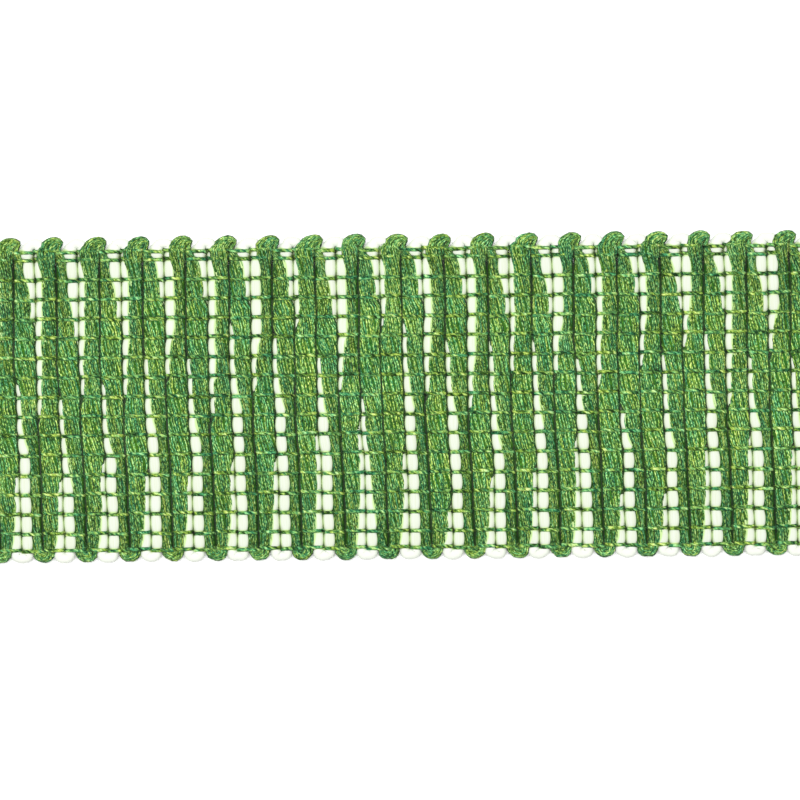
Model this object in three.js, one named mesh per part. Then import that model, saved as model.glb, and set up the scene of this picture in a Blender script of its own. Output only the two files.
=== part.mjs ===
// A cut length of woven tape trim, lying flat on its back.
// Thick yarns run across the tape, two to a rib: a green bundle and a soft ivory cord. In each rib the
// green one starts beside the ivory one at one edge, crosses over it, and ends beside it at the other
// edge. Both turn round at the edges, which leaves a row of small rounded loops down each side.
// Millimetres. X runs along the tape, Y across it, and Z up from the flat back.
import * as THREE from "three";

// Driving dimensions.
const RIB_PITCH = 4.315; // from one rib to the next
const RIBS = 40;
const THREAD_PITCH = 3.88; // between the fine threads that run along the tape
const THREAD_ROWS = 16;
const TOP_THREAD_Y = 27.8; // the first of those rows
const SELVEDGE_GAP = 1.8; // one more thread lies this far above it
const TOP_LOOP = 3.2; // how far the edge loops stand out past the last thread
const BOTTOM_LOOP = 2.4;
const RIB_LEAN = THREE.MathUtils.degToRad(1.27); // the ribs lean back towards -X at the top edge
const RIB_BOW = 0.34; // and bow that way between the edges

// Heights above the flat back.
const GREEN_TOP_BESIDE = 2.7; // crown of the green bundle where it lies beside the ivory cord
const GREEN_TOP_OVER = 2.92; // and where it lies over it
const IVORY_TOP_BESIDE = 2.6; // crown of the ivory cord where all of it shows
const IVORY_TOP_UNDER = 1.95; // and where only its flank shows
const JUNCTION_DROP = 0.4; // the crease between the two
const FRONT_VALLEY = 1.75; // between two ribs, on the front
const BACK_VALLEY = 0.7; // and on the back
const RIM_HEIGHT = 1.35; // of the outline of the edge loops
const FLANK = 0.32; // the least width of a rib's sloping side
const FLANK_RISE = 0.6; // how far up such a side its middle comes, as a share
const SHOULDER = 0.2; // where the green bundle's crown begins, as a share of its width
const SHOULDER_DROP = 0.1; // how much lower that is than the crown

// How much ivory shows, in millimetres.
const IVORY_FULL = 2.1;
const DOWN_TAPER = 0.75; // width lost in each row of thread, going down from the top edge
const UP_TAPER_ROWS = 3; // rows of thread it takes to go under in the other ribs
const UP_BOTTOM_WIDTH = 2.0; // right of the green, at the bottom edge of those

// Where the green bundle crosses the ivory cord, counted in thread rows from the top edge, one line for
// each pair of ribs. In the first rib of a pair the ivory shows to the right of the green down to
// downEnd, and to its left from downStart, all of it from downFull. In the second it shows to the left,
// upWidth wide, down to upEnd, and to the right from upStart.
const COLUMNS = ["downEnd", "downStart", "downFull", "upWidth", "upEnd", "upStart"];
const CROSSINGS = [
  [4.5, 7.0, 11.5, 1.5, 8.5, 11.5],
  [4.5, 7.0, 11.0, 1.4, 9.5, 12.0],
  [5.5, 7.5, 13.0, 1.3, 8.5, 11.0],
  [4.5, 7.0, 11.5, 1.5, 8.5, 11.5],
  [3.5, 5.5, 10.0, 1.9, 7.5, 11.5],
  [3.5, 5.5, 10.5, 1.6, 9.5, 11.0],
  [3.5, 4.0, 9.0, 2.0, 8.0, 11.0],
  [3.5, 4.5, 9.0, 1.1, 5.0, 9.5],
  [4.5, 5.5, 9.5, 1.9, 8.0, 9.0],
  [3.5, 7.5, 15.0, 1.1, 5.0, 10.5],
  [3.5, 4.0, 9.0, 1.7, 8.5, 13.5],
  [3.5, 5.0, 9.5, 1.8, 9.0, 12.0],
  [4.5, 5.0, 11.5, 1.0, 7.5, 11.5],
  [4.5, 5.0, 10.0, 2.0, 7.5, 10.0],
  [3.5, 6.0, 9.5, 1.3, 8.0, 13.0],
  [3.5, 8.5, 11.0, 1.5, 7.0, 13.0],
  [4.0, 5.5, 11.5, 1.9, 6.0, 10.5],
  [4.0, 4.5, 9.5, 1.5, 9.0, 10.0],
  [4.5, 6.0, 10.0, 2.1, 6.5, 10.5],
  [4.0, 6.0, 10.5, 1.5, 8.0, 11.5],
].map((row) => Object.fromEntries(COLUMNS.map((name, i) => [name, row[i]])));

const BOTTOM_THREAD_Y = TOP_THREAD_Y - THREAD_PITCH * (THREAD_ROWS - 1);
const EDGE_THREAD_Y = TOP_THREAD_Y + SELVEDGE_GAP;
const { clamp, lerp, smoothstep } = THREE.MathUtils;

// The thread row at a height across the tape, 1 at the first full row and 16 at the last.
const threadRow = (y) => 1 + (TOP_THREAD_Y - y) / THREAD_PITCH;

// How far the ribs bow at height y.
const bow = (y) => RIB_BOW * smoothstep(-y, -19, -9) * (1 - smoothstep(-y, 5, 14));

// Where rib boundary number m lies at height y.
const boundaryX = (m, y) => (m - RIBS / 2) * RIB_PITCH - y * Math.tan(RIB_LEAN) - bow(y);

// How far a row is from one row to another, from 0 to 1.
const between = (row, from, to) => clamp((row - from) / (to - from), 0, 1);

// Width of the ivory that shows to the left and right of the green bundle in rib k, counted from 0.
function ivoryShowing(k, y) {
  const row = threadRow(y);
  const { downEnd, downStart, downFull, upWidth, upEnd, upStart } = CROSSINGS[Math.floor(k / 2)];
  if (k % 2 === 0) {
    return {
      left: IVORY_FULL * between(row, downStart, downFull),
      right: clamp(DOWN_TAPER * (downEnd - row), 0, IVORY_FULL),
    };
  }
  return {
    left: upWidth * between(row, upEnd, upEnd - UP_TAPER_ROWS),
    right: UP_BOTTOM_WIDTH * between(row, upStart, THREAD_ROWS),
  };
}

// The front of rib k at height y: points from its left boundary up to, but not at, its right one.
function ribFront(k, y) {
  const { left, right } = ivoryShowing(k, y);
  const over = 1 - Math.min(1, (left + right) / IVORY_FULL);
  const greenTop = lerp(GREEN_TOP_BESIDE, GREEN_TOP_OVER, over);
  const ivoryTop = lerp(IVORY_TOP_BESIDE, IVORY_TOP_UNDER, over);
  const crease = ivoryTop - JUNCTION_DROP * (1 - over);
  const a = Math.max(left, FLANK);
  const b = RIB_PITCH - Math.max(right, FLANK);
  const side = (width) => (width > FLANK ? ivoryTop : lerp(FRONT_VALLEY, crease, FLANK_RISE));
  return [
    [0, FRONT_VALLEY],
    [a / 2, side(left)],
    [a, crease],
    [lerp(a, b, SHOULDER), greenTop - SHOULDER_DROP],
    [(a + b) / 2, greenTop],
    [lerp(b, a, SHOULDER), greenTop - SHOULDER_DROP],
    [b, crease],
    [(b + RIB_PITCH) / 2, side(right)],
  ];
}

// The back of a rib: flat where it touches what it lies on, with a valley on each side. Each point is
// a share of the rib's width, and a height.
const RIB_BACK = [
  [0, BACK_VALLEY],
  [0.2, 0],
  [0.8, 0],
];

// A quarter of a rib at a time round the edge loops, which are centred on the rib boundaries: share
// of the rib's width, how far out the outline is, as a share of the loop, and the heights of the front
// and the back part of the way there.
const LOOP_QUARTERS = [
  { u: 0, reach: 1, front: 2.55, back: 0.3 },
  { u: 0.25, reach: 0.86, front: 2.4, back: 0.35 },
  { u: 0.5, reach: 0.3, front: 2.0, back: 0.6 },
  { u: 0.75, reach: 0.86, front: 2.4, back: 0.35 },
];
const LOOP_SHOULDER = 0.62; // the part of the way at which those heights hold

const positions = [];
function addPoint(x, y, z) {
  positions.push(x, y, z);
  return positions.length / 3 - 1;
}

// One line of points along the whole tape. section(k) gives [distance into the rib, y, z] for rib k.
function addRow(section) {
  const row = [];
  for (let k = 0; k <= RIBS; k++) {
    const points = k < RIBS ? section(k) : section(RIBS - 2).slice(0, 1);
    for (const [u, y, z] of points) row.push(addPoint(boundaryX(k, y) + u, y, z));
  }
  return row;
}

const frontRow = (y) => addRow((k) => ribFront(k, y).map(([u, z]) => [u, y, z]));
const backRow = (y) => addRow(() => RIB_BACK.map(([u, z]) => [u * RIB_PITCH, y, z]));

// A line of points round the loops at one edge. share is how far out, 1 on the outline itself.
function loopRow(threadY, loop, share, height) {
  return addRow(() =>
    LOOP_QUARTERS.map((q) => [q.u * RIB_PITCH, threadY + loop * q.reach * share, height(q)]),
  );
}

const heightsAcross = (from, to, steps) =>
  Array.from({ length: steps + 1 }, (_, i) => lerp(from, to, i / steps));

// All the lines of points, in order round the tape: the front from the bottom edge to the top edge,
// then the back down to the bottom edge again.
const FRONT_STEPS = 9;
const BACK_STEPS = 3;
const TOP_RIM = FRONT_STEPS + 4; // where the outline of the top edge comes among them
const rim = () => RIM_HEIGHT;
const rows = [
  loopRow(BOTTOM_THREAD_Y, -BOTTOM_LOOP, 1, rim),
  loopRow(BOTTOM_THREAD_Y, -BOTTOM_LOOP, LOOP_SHOULDER, (q) => q.front),
  ...heightsAcross(BOTTOM_THREAD_Y, EDGE_THREAD_Y, FRONT_STEPS).map(frontRow),
  loopRow(EDGE_THREAD_Y, TOP_LOOP, LOOP_SHOULDER, (q) => q.front),
  loopRow(EDGE_THREAD_Y, TOP_LOOP, 1, rim),
  loopRow(EDGE_THREAD_Y, TOP_LOOP, LOOP_SHOULDER, (q) => q.back),
  ...heightsAcross(EDGE_THREAD_Y, BOTTOM_THREAD_Y, BACK_STEPS).map(backRow),
  loopRow(BOTTOM_THREAD_Y, -BOTTOM_LOOP, LOOP_SHOULDER, (q) => q.back),
];

// The triangles between two lines of points, which may have different numbers of them and may share
// their ends. The line that is further behind along the axis (0 for X, 1 for Y) moves on first.
const triangles = [];
function fillBetween(a, b, axis) {
  const at = (line, i) => (i < line.length ? positions[line[i] * 3 + axis] : Infinity);
  let i = 0;
  let j = 0;
  while (i < a.length - 1 || j < b.length - 1) {
    const stepA = at(a, i + 1) <= at(b, j + 1);
    const corners = stepA ? [a[i], a[i + 1], b[j]] : [a[i], b[j + 1], b[j]];
    if (new Set(corners).size === 3) triangles.push(...corners);
    if (stepA) i++;
    else j++;
  }
}

function tapeGeometry() {
  rows.forEach((row, i) => fillBetween(row, rows[(i + 1) % rows.length], 0));
  // The flat cut ends, through the first and the last point of every line.
  const frontRows = rows.slice(0, TOP_RIM + 1);
  const backRows = [rows[0], ...rows.slice(TOP_RIM).reverse()];
  fillBetween(
    frontRows.map((row) => row[0]),
    backRows.map((row) => row[0]),
    1,
  );
  fillBetween(
    backRows.map((row) => row[row.length - 1]),
    frontRows.map((row) => row[row.length - 1]),
    1,
  );
  const geometry = new THREE.BufferGeometry();
  geometry.setAttribute("position", new THREE.Float32BufferAttribute(positions, 3));
  geometry.setIndex(triangles);
  geometry.computeVertexNormals();
  return geometry;
}

const yarn = new THREE.MeshStandardMaterial({ color: "#5a8a45", roughness: 0.95, metalness: 0 });
const tape = new THREE.Mesh(tapeGeometry(), yarn);
tape.name = "tape";

const part = new THREE.Group();
part.add(tape);

export default part;
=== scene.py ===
"""Looks of a cut length of woven tape trim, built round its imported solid.

Two thick wefts cross the tape in every rib: a bundle of heathered green strands and a soft ivory
cord. The green one crosses over the ivory one on the face, and both turn round at the edges in small
loops. Pairs of fine green warp threads run along the tape, over and under alternate ribs, and pinch
the wefts into small pillows.

Lengths are in millimetres until a mesh is written, which turns them to metres.
"""

import logging
import math
from collections.abc import Callable
from dataclasses import dataclass, field
from enum import Enum
from functools import partial

import bpy
import numpy as np
from bpy.types import ID, Material, Node, NodeSocket, NodeTree, Object
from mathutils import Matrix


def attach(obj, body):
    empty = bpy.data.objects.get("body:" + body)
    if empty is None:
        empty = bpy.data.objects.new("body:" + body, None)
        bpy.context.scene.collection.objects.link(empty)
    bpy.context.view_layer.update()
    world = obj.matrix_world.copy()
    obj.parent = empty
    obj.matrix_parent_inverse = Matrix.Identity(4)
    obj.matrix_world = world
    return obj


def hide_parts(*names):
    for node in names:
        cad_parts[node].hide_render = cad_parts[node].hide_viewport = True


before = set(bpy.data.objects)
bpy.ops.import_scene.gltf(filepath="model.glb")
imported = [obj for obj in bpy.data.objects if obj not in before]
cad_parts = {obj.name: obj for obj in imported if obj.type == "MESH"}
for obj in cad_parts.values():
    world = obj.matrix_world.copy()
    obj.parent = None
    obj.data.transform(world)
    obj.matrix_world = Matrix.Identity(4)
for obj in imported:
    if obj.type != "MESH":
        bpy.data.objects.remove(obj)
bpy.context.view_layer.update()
MM = 0.001
SEED = 41
log = logging.getLogger("tape")

Array = np.ndarray
Span = tuple[float, float]
Knots = tuple[tuple[float, ...], ...]
Adder = Callable[..., Node]  # adds a node to one material, as add_node does

# The UV map and the point attributes that the materials read.
UV_MAP = "yarn"
TONE, EDGE, THREAD, LEG, CLEAR = "tone", "edge", "thread", "leg", "clear"


class Yarn(Enum):
    """The two wefts, each with the way it crosses the first rib: 1 for downwards, 0 for upwards."""

    GREEN = 1
    IVORY = 0


def srgb(code: str) -> tuple[float, float, float, float]:
    """Turns an sRGB hex colour to linear red, green, blue and alpha.

    Args:
        code: the colour as "#rrggbb".

    Returns:
        Each channel by the sRGB curve: a straight line near black and a 2.4 power above it.
    """
    channels = [int(code[i : i + 2], 16) / 255 for i in (1, 3, 5)]
    linear = [c / 12.92 if c <= 0.04045 else ((c + 0.055) / 1.055) ** 2.4 for c in channels]
    return (*linear, 1.0)


def mix(a: Array | float, b: Array | float, share: Array) -> Array:
    """Goes from a to b in a straight line as the share goes from 0 to 1."""
    return a + (b - a) * share


def ease(x: Array, start: Array | float, end: Array | float) -> Array:
    """Rises from 0 at the start to 1 at the end, level at both: 3t squared less 2t cubed."""
    t = np.clip((x - start) / (end - start), 0, 1)
    return t * t * (3 - 2 * t)


def smooth_through(knots: Array, count: int) -> Array:
    """Draws a smooth curve through knots, by the Catmull-Rom formula.

    Between two knots the curve is the cubic whose slope at each knot is half the step between that
    knot's neighbours.

    Args:
        knots: (curves, knots, columns).
        count: how many points to give between the first and the last knot, without those two.

    Returns:
        (curves, count, columns).
    """
    ends = [2 * knots[:, :1] - knots[:, 1:2], knots, 2 * knots[:, -1:] - knots[:, -2:-1]]
    padded = np.concatenate(ends, axis=1)
    place = np.linspace(0, knots.shape[1] - 1, count + 2)[1:-1]
    first = np.minimum(place.astype(int), knots.shape[1] - 2)
    t = (place - first)[None, :, None]
    p0, p1, p2, p3 = (padded[:, first + i] for i in range(4))
    bend = (2 * p0 - 5 * p1 + 4 * p2 - p3) * t**2 + (3 * p1 - p0 - 3 * p2 + p3) * t**3
    return p1 + 0.5 * ((p2 - p0) * t + bend)


def wander(rng: np.random.Generator, along: Array, period: float, lines: int) -> Array:
    """Gives slow random waves along some lines: random values a period apart, eased between.

    Args:
        rng: the random numbers to draw from.
        along: (points,), each point's distance along its line.
        period: the distance between two random values.
        lines: how many lines.

    Returns:
        (lines, points), between -1 and 1.
    """
    place = along / period
    first = place.astype(int)
    values = rng.uniform(-1, 1, (lines, int(first.max()) + 2))
    return mix(values[:, first], values[:, first + 1], ease(place - first, 0, 1))


def rounded_section(
    share: Array, half_width: Array, half_height: Array, roundness: Array | float
) -> tuple[Array, Array]:
    """Finds points round a rectangle with round corners, evenly spaced along its outline.

    The outline starts at the middle of the right side and goes anticlockwise: four straight
    stretches, with a quarter circle between each two. A point's place is the sum of what it has gone
    along each straight stretch, and of the angle that it has turned.

    Args:
        share: how far round each point is, from 0 to 1.
        half_width: half the section's width there.
        half_height: half its height.
        roundness: the corners' radius, as a share of the lesser of the two.

    Returns:
        The points' places across and up, from the section's middle.
    """
    radius = roundness * np.minimum(half_width, half_height)
    across, up = half_width - radius, half_height - radius
    quarter = radius * math.pi / 2
    stretches = [up, quarter, 2 * across, quarter, 2 * up, quarter, 2 * across, quarter, up]
    left = (share % 1) * (4 * across + 4 * up + 4 * quarter)
    gone = []
    for stretch in stretches:
        gone.append(np.clip(left, 0, stretch))
        left = left - stretch
    turned = sum(gone[i] for i in (1, 3, 5, 7)) / radius
    x = across - gone[2] + gone[6] + radius * np.cos(turned)
    z = gone[0] - gone[4] + gone[8] + radius * np.sin(turned)
    return x, z


# Where the green bundle crosses the ivory cord, counted in thread rows from the top edge, a line for
# each pair of ribs, as in the solid. In the first rib of a pair the ivory shows to the right of the
# green down to down_end, and to its left from down_start, all of it from down_full. In the second it
# shows to the left, up_width wide, down to up_end, and to the right from up_start.
CROSSING_COLUMNS = ("down_end", "down_start", "down_full", "up_width", "up_end", "up_start")
CROSSINGS = (
    (4.5, 7.0, 11.5, 1.5, 8.5, 11.5),
    (4.5, 7.0, 11.0, 1.4, 9.5, 12.0),
    (5.5, 7.5, 13.0, 1.3, 8.5, 11.0),
    (4.5, 7.0, 11.5, 1.5, 8.5, 11.5),
    (3.5, 5.5, 10.0, 1.9, 7.5, 11.5),
    (3.5, 5.5, 10.5, 1.6, 9.5, 11.0),
    (3.5, 4.0, 9.0, 2.0, 8.0, 11.0),
    (3.5, 4.5, 9.0, 1.1, 5.0, 9.5),
    (4.5, 5.5, 9.5, 1.9, 8.0, 9.0),
    (3.5, 7.5, 15.0, 1.1, 5.0, 10.5),
    (3.5, 4.0, 9.0, 1.7, 8.5, 13.5),
    (3.5, 5.0, 9.5, 1.8, 9.0, 12.0),
    (4.5, 5.0, 11.5, 1.0, 7.5, 11.5),
    (4.5, 5.0, 10.0, 2.0, 7.5, 10.0),
    (3.5, 6.0, 9.5, 1.3, 8.0, 13.0),
    (3.5, 8.5, 11.0, 1.5, 7.0, 13.0),
    (4.0, 5.5, 11.5, 1.9, 6.0, 10.5),
    (4.0, 4.5, 9.5, 1.5, 9.0, 10.0),
    (4.5, 6.0, 10.0, 2.1, 6.5, 10.5),
    (4.0, 6.0, 10.5, 1.5, 8.0, 11.5),
)


@dataclass
class Lie:
    """How a weft lies at some places: its middle, and half its width and height there."""

    x: Array
    z: Array
    half_width: Array
    half_height: Array


@dataclass(frozen=True)
class Weave:
    """The plan of the weave: where its ribs, its threads and its two wefts lie."""

    ribs: int = 40
    rib_pitch: float = 4.315
    lean: float = math.radians(1.27)
    bow: float = 0.34  # how far the ribs bow back between the edges
    bow_top: Span = (-19, -9)  # how far down from the middle it starts and is whole
    bow_bottom: Span = (5, 14)  # and where it lessens and ends
    top_thread: float = 27.8  # the first full row of warp threads
    selvedge_gap: float = 1.62  # one more row lies this far above it
    thread_rows: int = 17
    thread_gap: float = 3.91  # from a full row to the next
    last_gap: float = 3.3  # but for the last, which is narrower
    row_stray: float = 0.08  # how far a row strays from its place
    middle: float = 1.45  # height of the weave's middle above the floor
    ivory_full: float = 2.1  # how wide it shows where all of it lies beside the green one
    down_taper: float = 0.75  # width that the ivory loses in a row, going down from the top edge
    up_taper: float = 3.0  # rows that it takes to go under in the other ribs
    up_bottom_width: float = 2.0
    green_gap: float = -0.1  # from a rib's boundary to the green one where it lies over the ivory
    leg_gap: float = 0.06  # and where it lies beside it
    leg_overlap: float = 0.2  # how far two of its runs lap over each other where they turn round
    laps: tuple[tuple[float, ...], tuple[float, ...]] = (
        (0.1, 0.5, 1.0, 1.7, 2.1), (-0.3, -0.2, 0.4, 0.6, 0.2),
    )  # how far it laps over ivory that should show by so much
    ivory_gap: float = -0.03
    pinch_height: float = 0.24  # share of the height that a warp thread takes
    pinch_width: float = 0.11
    short_swell: float = 0.5  # share of a full swell between the two top rows
    pinch_end: float = 0.8  # how far past the last threads the pinch dies out
    knob_lift: float = 0.65  # how much higher the green one is where it goes into a top loop
    knob_swell: float = 0.38  # how much wider it is there
    knob_rows: Span = (0.7, 1.7)  # from which row to which it sinks back
    knob_neck: float = 1.0  # how much narrower it is where it comes back from the loop
    turn_rows: float = 0.8  # rows at the bottom, and half of those at the top, in which it turns
    green_half_height: Span = (0.66, 1.08)  # over the ivory one, and beside it
    green_top: Span = (2.74, 2.68)  # where its top is, likewise
    ivory_half_height: tuple[float, float, float] = (0.62, 0.85, 1.1)  # hidden, peeping out, full
    ivory_top: tuple[float, float, float] = (1.55, 2.15, 2.54)  # likewise
    ivory_width: float = 2.4  # of all of the ivory cord, some of it under the green one
    ivory_tuck: float = 0.15  # how far it stays off both boundaries where none of it shows
    ivory_out: float = 0.3  # how much of it shows once its side has come out to the boundary
    ivory_peep: float = 0.12  # share of it that shows once it is up beside the green one
    lap_start: float = 0.1  # how much of it shows once the green one laps over it in full
    flat_valley: float = 1.7  # how many times narrower a valley's painted shade is where the green lies flat
    far: float = 9.0  # what a distance grows by where it is to count for nothing
    valley_end: float = 0.35  # how far past an edge the valleys' painted shade ends
    face_end: Span = (0.1, 0.5)  # past the edges, where the ribs' face ends
    loop_start: Span = (-0.3, 0.3)  # past the edges, where the loops start
    loop_light: float = 0.6  # how much less the loops count as beside the ivory, so that they get less painted shade
    sway_reach: float = 0.13  # how far a rib strays from its line
    sway_length: float = 5.0
    sway: Array = field(
        default_factory=lambda: np.random.default_rng(SEED + 30).uniform(-1, 1, (41, 15))
    )  # how far each rib boundary strays, at 15 places down the tape
    crossings: dict[str, Array] = field(
        default_factory=lambda: dict(zip(CROSSING_COLUMNS, np.array(CROSSINGS).T))
    )

    def row_heights(self) -> Array:
        """Works out where the thread rows are.

        The full rows are evenly spaced but for the last, and each strays a little at random.

        Returns:
            Each row's place across the tape, the selvedge's own row first.
        """
        full = self.top_thread - self.thread_gap * np.arange(self.thread_rows - 2)
        full += self.row_stray * np.random.default_rng(SEED + 31).uniform(-1, 1, full.size)
        return np.array([self.top_thread + self.selvedge_gap, *full, full[-1] - self.last_gap])

    def boundary_x(self, number: Array, y: Array) -> Array:
        """Gives a rib boundary's place along the tape.

        It is the pitch times the number, less the lean and the bow, and strays a little: it eases
        from one random value to the next down the tape.

        Args:
            number: the boundary's number, 0 at the left end.
            y: the place across the tape.

        Returns:
            The place along the tape.
        """
        bow = self.bow * ease(-y, *self.bow_top) * (1 - ease(-y, *self.bow_bottom))
        place = y / self.sway_length + self.sway.shape[1] / 2
        first = np.clip(place.astype(int), 0, self.sway.shape[1] - 2)
        stray = mix(self.sway[number, first], self.sway[number, first + 1], ease(place - first, 0, 1))
        straight = (number - self.ribs / 2) * self.rib_pitch - y * math.tan(self.lean)
        return straight - bow + self.sway_reach * stray

    def marks(self, points: Array, top: float) -> dict[str, Array]:
        """Measures where points are among the ribs, the threads and the green.

        The materials read these to paint light and shade. The first is the distance from the
        nearest rib boundary, which places the painted shade of the valleys. It counts for more where
        the green lies flat over the ivory, so that the valleys are narrower there, and grows past the
        edges, so that nothing counts as a valley. The second is 1 at a thread and 0 half way to the
        next: one less a sine, squared. The third is 1 where the green lies beside the ivory and 0
        where it lies flat over it. The fourth is the distance from the green's edge, below 0 within
        the green, and large on the tape's back.

        Args:
            points: (..., 3).
            top: where the valleys end near the top edge.

        Returns:
            The four measures, by the names of their attributes.
        """
        x, y = points[..., 0], points[..., 1]
        guess = (x + y * math.tan(self.lean) + self.bow / 2) / self.rib_pitch + self.ribs / 2
        number = np.clip(np.round(guess).astype(int), 0, self.ribs)
        rib = np.clip(np.floor(guess).astype(int), 0, self.ribs - 1)
        left, right = self.showing(rib, y)
        beside = np.clip(np.abs(right - left) / self.ivory_full, 0, 1)
        rows = self.row_heights()
        edge = np.abs(x - self.boundary_x(number, y)) * mix(self.flat_valley, 1.0, beside)
        edge = edge + self.far * ease(np.maximum(y - top, rows[-1] - y), 0, self.valley_end)
        past = self.past(y)
        within = 1 - ease(past, *self.face_end)
        thread = (1 - np.abs(np.sin(math.pi * self.row_count(y)))) ** 2
        green = self.lie(Yarn.GREEN, rib, y)
        face = points[..., 2] > self.middle
        clear = np.abs(x - green.x) - green.half_width + self.far * np.where(face, 1 - within, 1)
        leg = beside * (1 - self.loop_light * ease(past, *self.loop_start))
        return {EDGE: edge, THREAD: thread * within, LEG: leg, CLEAR: clear}

    def row_count(self, y: Array) -> Array:
        """Counts thread rows down to y from the selvedge's own row, with the part of a row."""
        rows = self.row_heights()
        return np.interp(-y, -rows, np.arange(rows.size))

    def pinch(self, y: Array) -> Array:
        """Tells how much the threads pinch a weft: 1 at a thread and 0 half way to the next.

        It is one less the root of a sine. In the short cell at the selvedge a weft doesn't swell
        out as far again, and past the last threads the pinch dies out.

        Args:
            y: each place across the tape.

        Returns:
            The pinch there.
        """
        count = self.row_count(y)
        swell = np.sqrt(np.abs(np.sin(math.pi * count)))
        swell = np.where(count < 1, self.short_swell * swell, swell)
        return (1 - swell) * (1 - ease(self.past(y), 0, self.pinch_end))

    def past(self, y: Array) -> Array:
        """Gives how far past the outermost thread rows a place is, below 0 between them."""
        rows = self.row_heights()
        return np.maximum(y - rows[0], rows[-1] - y)

    def knob(self, rib: Array, y: Array) -> Array:
        """Tells where the green one goes up into a top loop: 1 there and 0 in the ribs below."""
        return np.where(rib % 2 == 1, 1 - ease(self.row_count(y), *self.knob_rows), 0)

    def showing(self, rib: Array, y: Array) -> tuple[Array, Array]:
        """Works out how wide the ivory shows beside the green.

        Each width rises or falls over a few thread rows, from where the rib's line of the table
        says.

        Args:
            rib: each place's rib, counted from 0.
            y: its place across the tape.

        Returns:
            The width to the left of the green and the width to the right.
        """
        row = self.row_count(y)
        at = {name: column[rib // 2] for name, column in self.crossings.items()}
        out = (row - at["down_start"]) / (at["down_full"] - at["down_start"])
        down_left = self.ivory_full * np.clip(out, 0, 1)
        down_right = np.clip(self.down_taper * (at["down_end"] - row), 0, self.ivory_full)
        up_left = at["up_width"] * np.clip((at["up_end"] - row) / self.up_taper, 0, 1)
        rise = (row - at["up_start"]) / (self.thread_rows - 1 - at["up_start"])
        up_right = self.up_bottom_width * np.clip(rise, 0, 1)
        down = rib % 2 == 0
        return np.where(down, down_left, up_left), np.where(down, down_right, up_right)

    def lie(self, yarn: Yarn, rib: Array, y: Array) -> Lie:
        """Works out how a weft lies in a rib.

        The green bundle fills the rib but for the ivory that shows, and grows flatter and higher as
        it spreads over it. The ivory cord is flat and low under it, and round and high beside it.

        Args:
            yarn: which weft.
            rib: each place's rib.
            y: its place across the tape.

        Returns:
            How the weft lies there.
        """
        left, right = self.showing(rib, y)
        pitch = self.boundary_x(rib + 1, y) - self.boundary_x(rib, y)
        lean_over = np.clip((right - left) / self.ivory_full, -1, 1)
        beside = np.abs(lean_over)
        near_top = 1 - ease(self.row_count(y), 0, 1)
        neck = np.where(rib % 2 == 0, self.knob_neck * near_top, 0)
        if yarn is Yarn.GREEN:
            knob = self.knob(rib, y)
            row = self.row_count(y)
            turn = 1 - ease(np.minimum(row / 2, self.thread_rows - 1 - row), 0, self.turn_rows)
            gap = mix(mix(self.green_gap, self.leg_gap, beside), -self.leg_overlap, turn)
            start = left + self.inset(left, gap) - self.knob_swell * knob
            end = pitch - right - self.inset(right, gap) - neck
            half_height = mix(*self.green_half_height, beside)
            top = mix(*self.green_top, beside)
            pinched = self.pinch(y) * (1 - knob)
        else:
            shown = np.maximum(left, right) / self.ivory_full
            full = pitch - self.ivory_width
            inset_left = mix(self.ivory_tuck, full - neck, np.clip(lean_over, 0, 1))
            inset_right = mix(self.ivory_tuck, full, np.clip(-lean_over, 0, 1))
            start = mix(inset_left, self.ivory_gap, ease(left, 0, self.ivory_out))
            end = pitch - mix(inset_right, self.ivory_gap, ease(right, 0, self.ivory_out))
            peeping = ease(shown, 0, self.ivory_peep)
            half_height, top = (
                mix(mix(hidden, up, peeping), whole, np.sqrt(shown))
                for hidden, up, whole in (self.ivory_half_height, self.ivory_top)
            )
            pinched = self.pinch(y)
        half_width = (end - start) / 2 * (1 - self.pinch_width * pinched)
        shrink = 1 - self.pinch_height * pinched
        z = self.middle + (top - half_height - self.middle) * shrink
        x = self.boundary_x(rib, y) + (start + end) / 2
        return Lie(x, z, half_width, half_height * shrink)

    def inset(self, shown: Array, gap: Array) -> Array:
        """Gives how far the green's edge is past the ivory's, or past the rib's boundary."""
        lap = np.interp(shown, *self.laps)
        return mix(gap, -lap, ease(shown, 0, self.lap_start))


def add_node(
    tree: NodeTree, kind: str, sockets: dict[str | int, object], **settings: object
) -> Node:
    """Adds a node with its settings and its inputs.

    Args:
        tree: the material's or the world's nodes.
        kind: the node's type, less the word that they all start with.
        sockets: for each input, by name or number, a value or what it is linked to: an output, or a
            node, which stands for its first output.
        settings: the node's own settings.

    Returns:
        The node.
    """
    node = tree.nodes.new(f"ShaderNode{kind}")
    for name, value in settings.items():
        setattr(node, name, value)
    for key, value in sockets.items():
        source = value.outputs[0] if isinstance(value, Node) else value
        if isinstance(source, NodeSocket):
            tree.links.new(source, node.inputs[key])
        else:
            node.inputs[key].default_value = source
    return node


def new_material(name: str) -> tuple[Material, Adder]:
    """Makes a material that has no nodes yet.

    Args:
        name: its name.

    Returns:
        The material, and what adds nodes to it.
    """
    material = bpy.data.materials.new(name)
    material.use_nodes = True
    material.node_tree.nodes.clear()
    return material, partial(add_node, material.node_tree)


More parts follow.
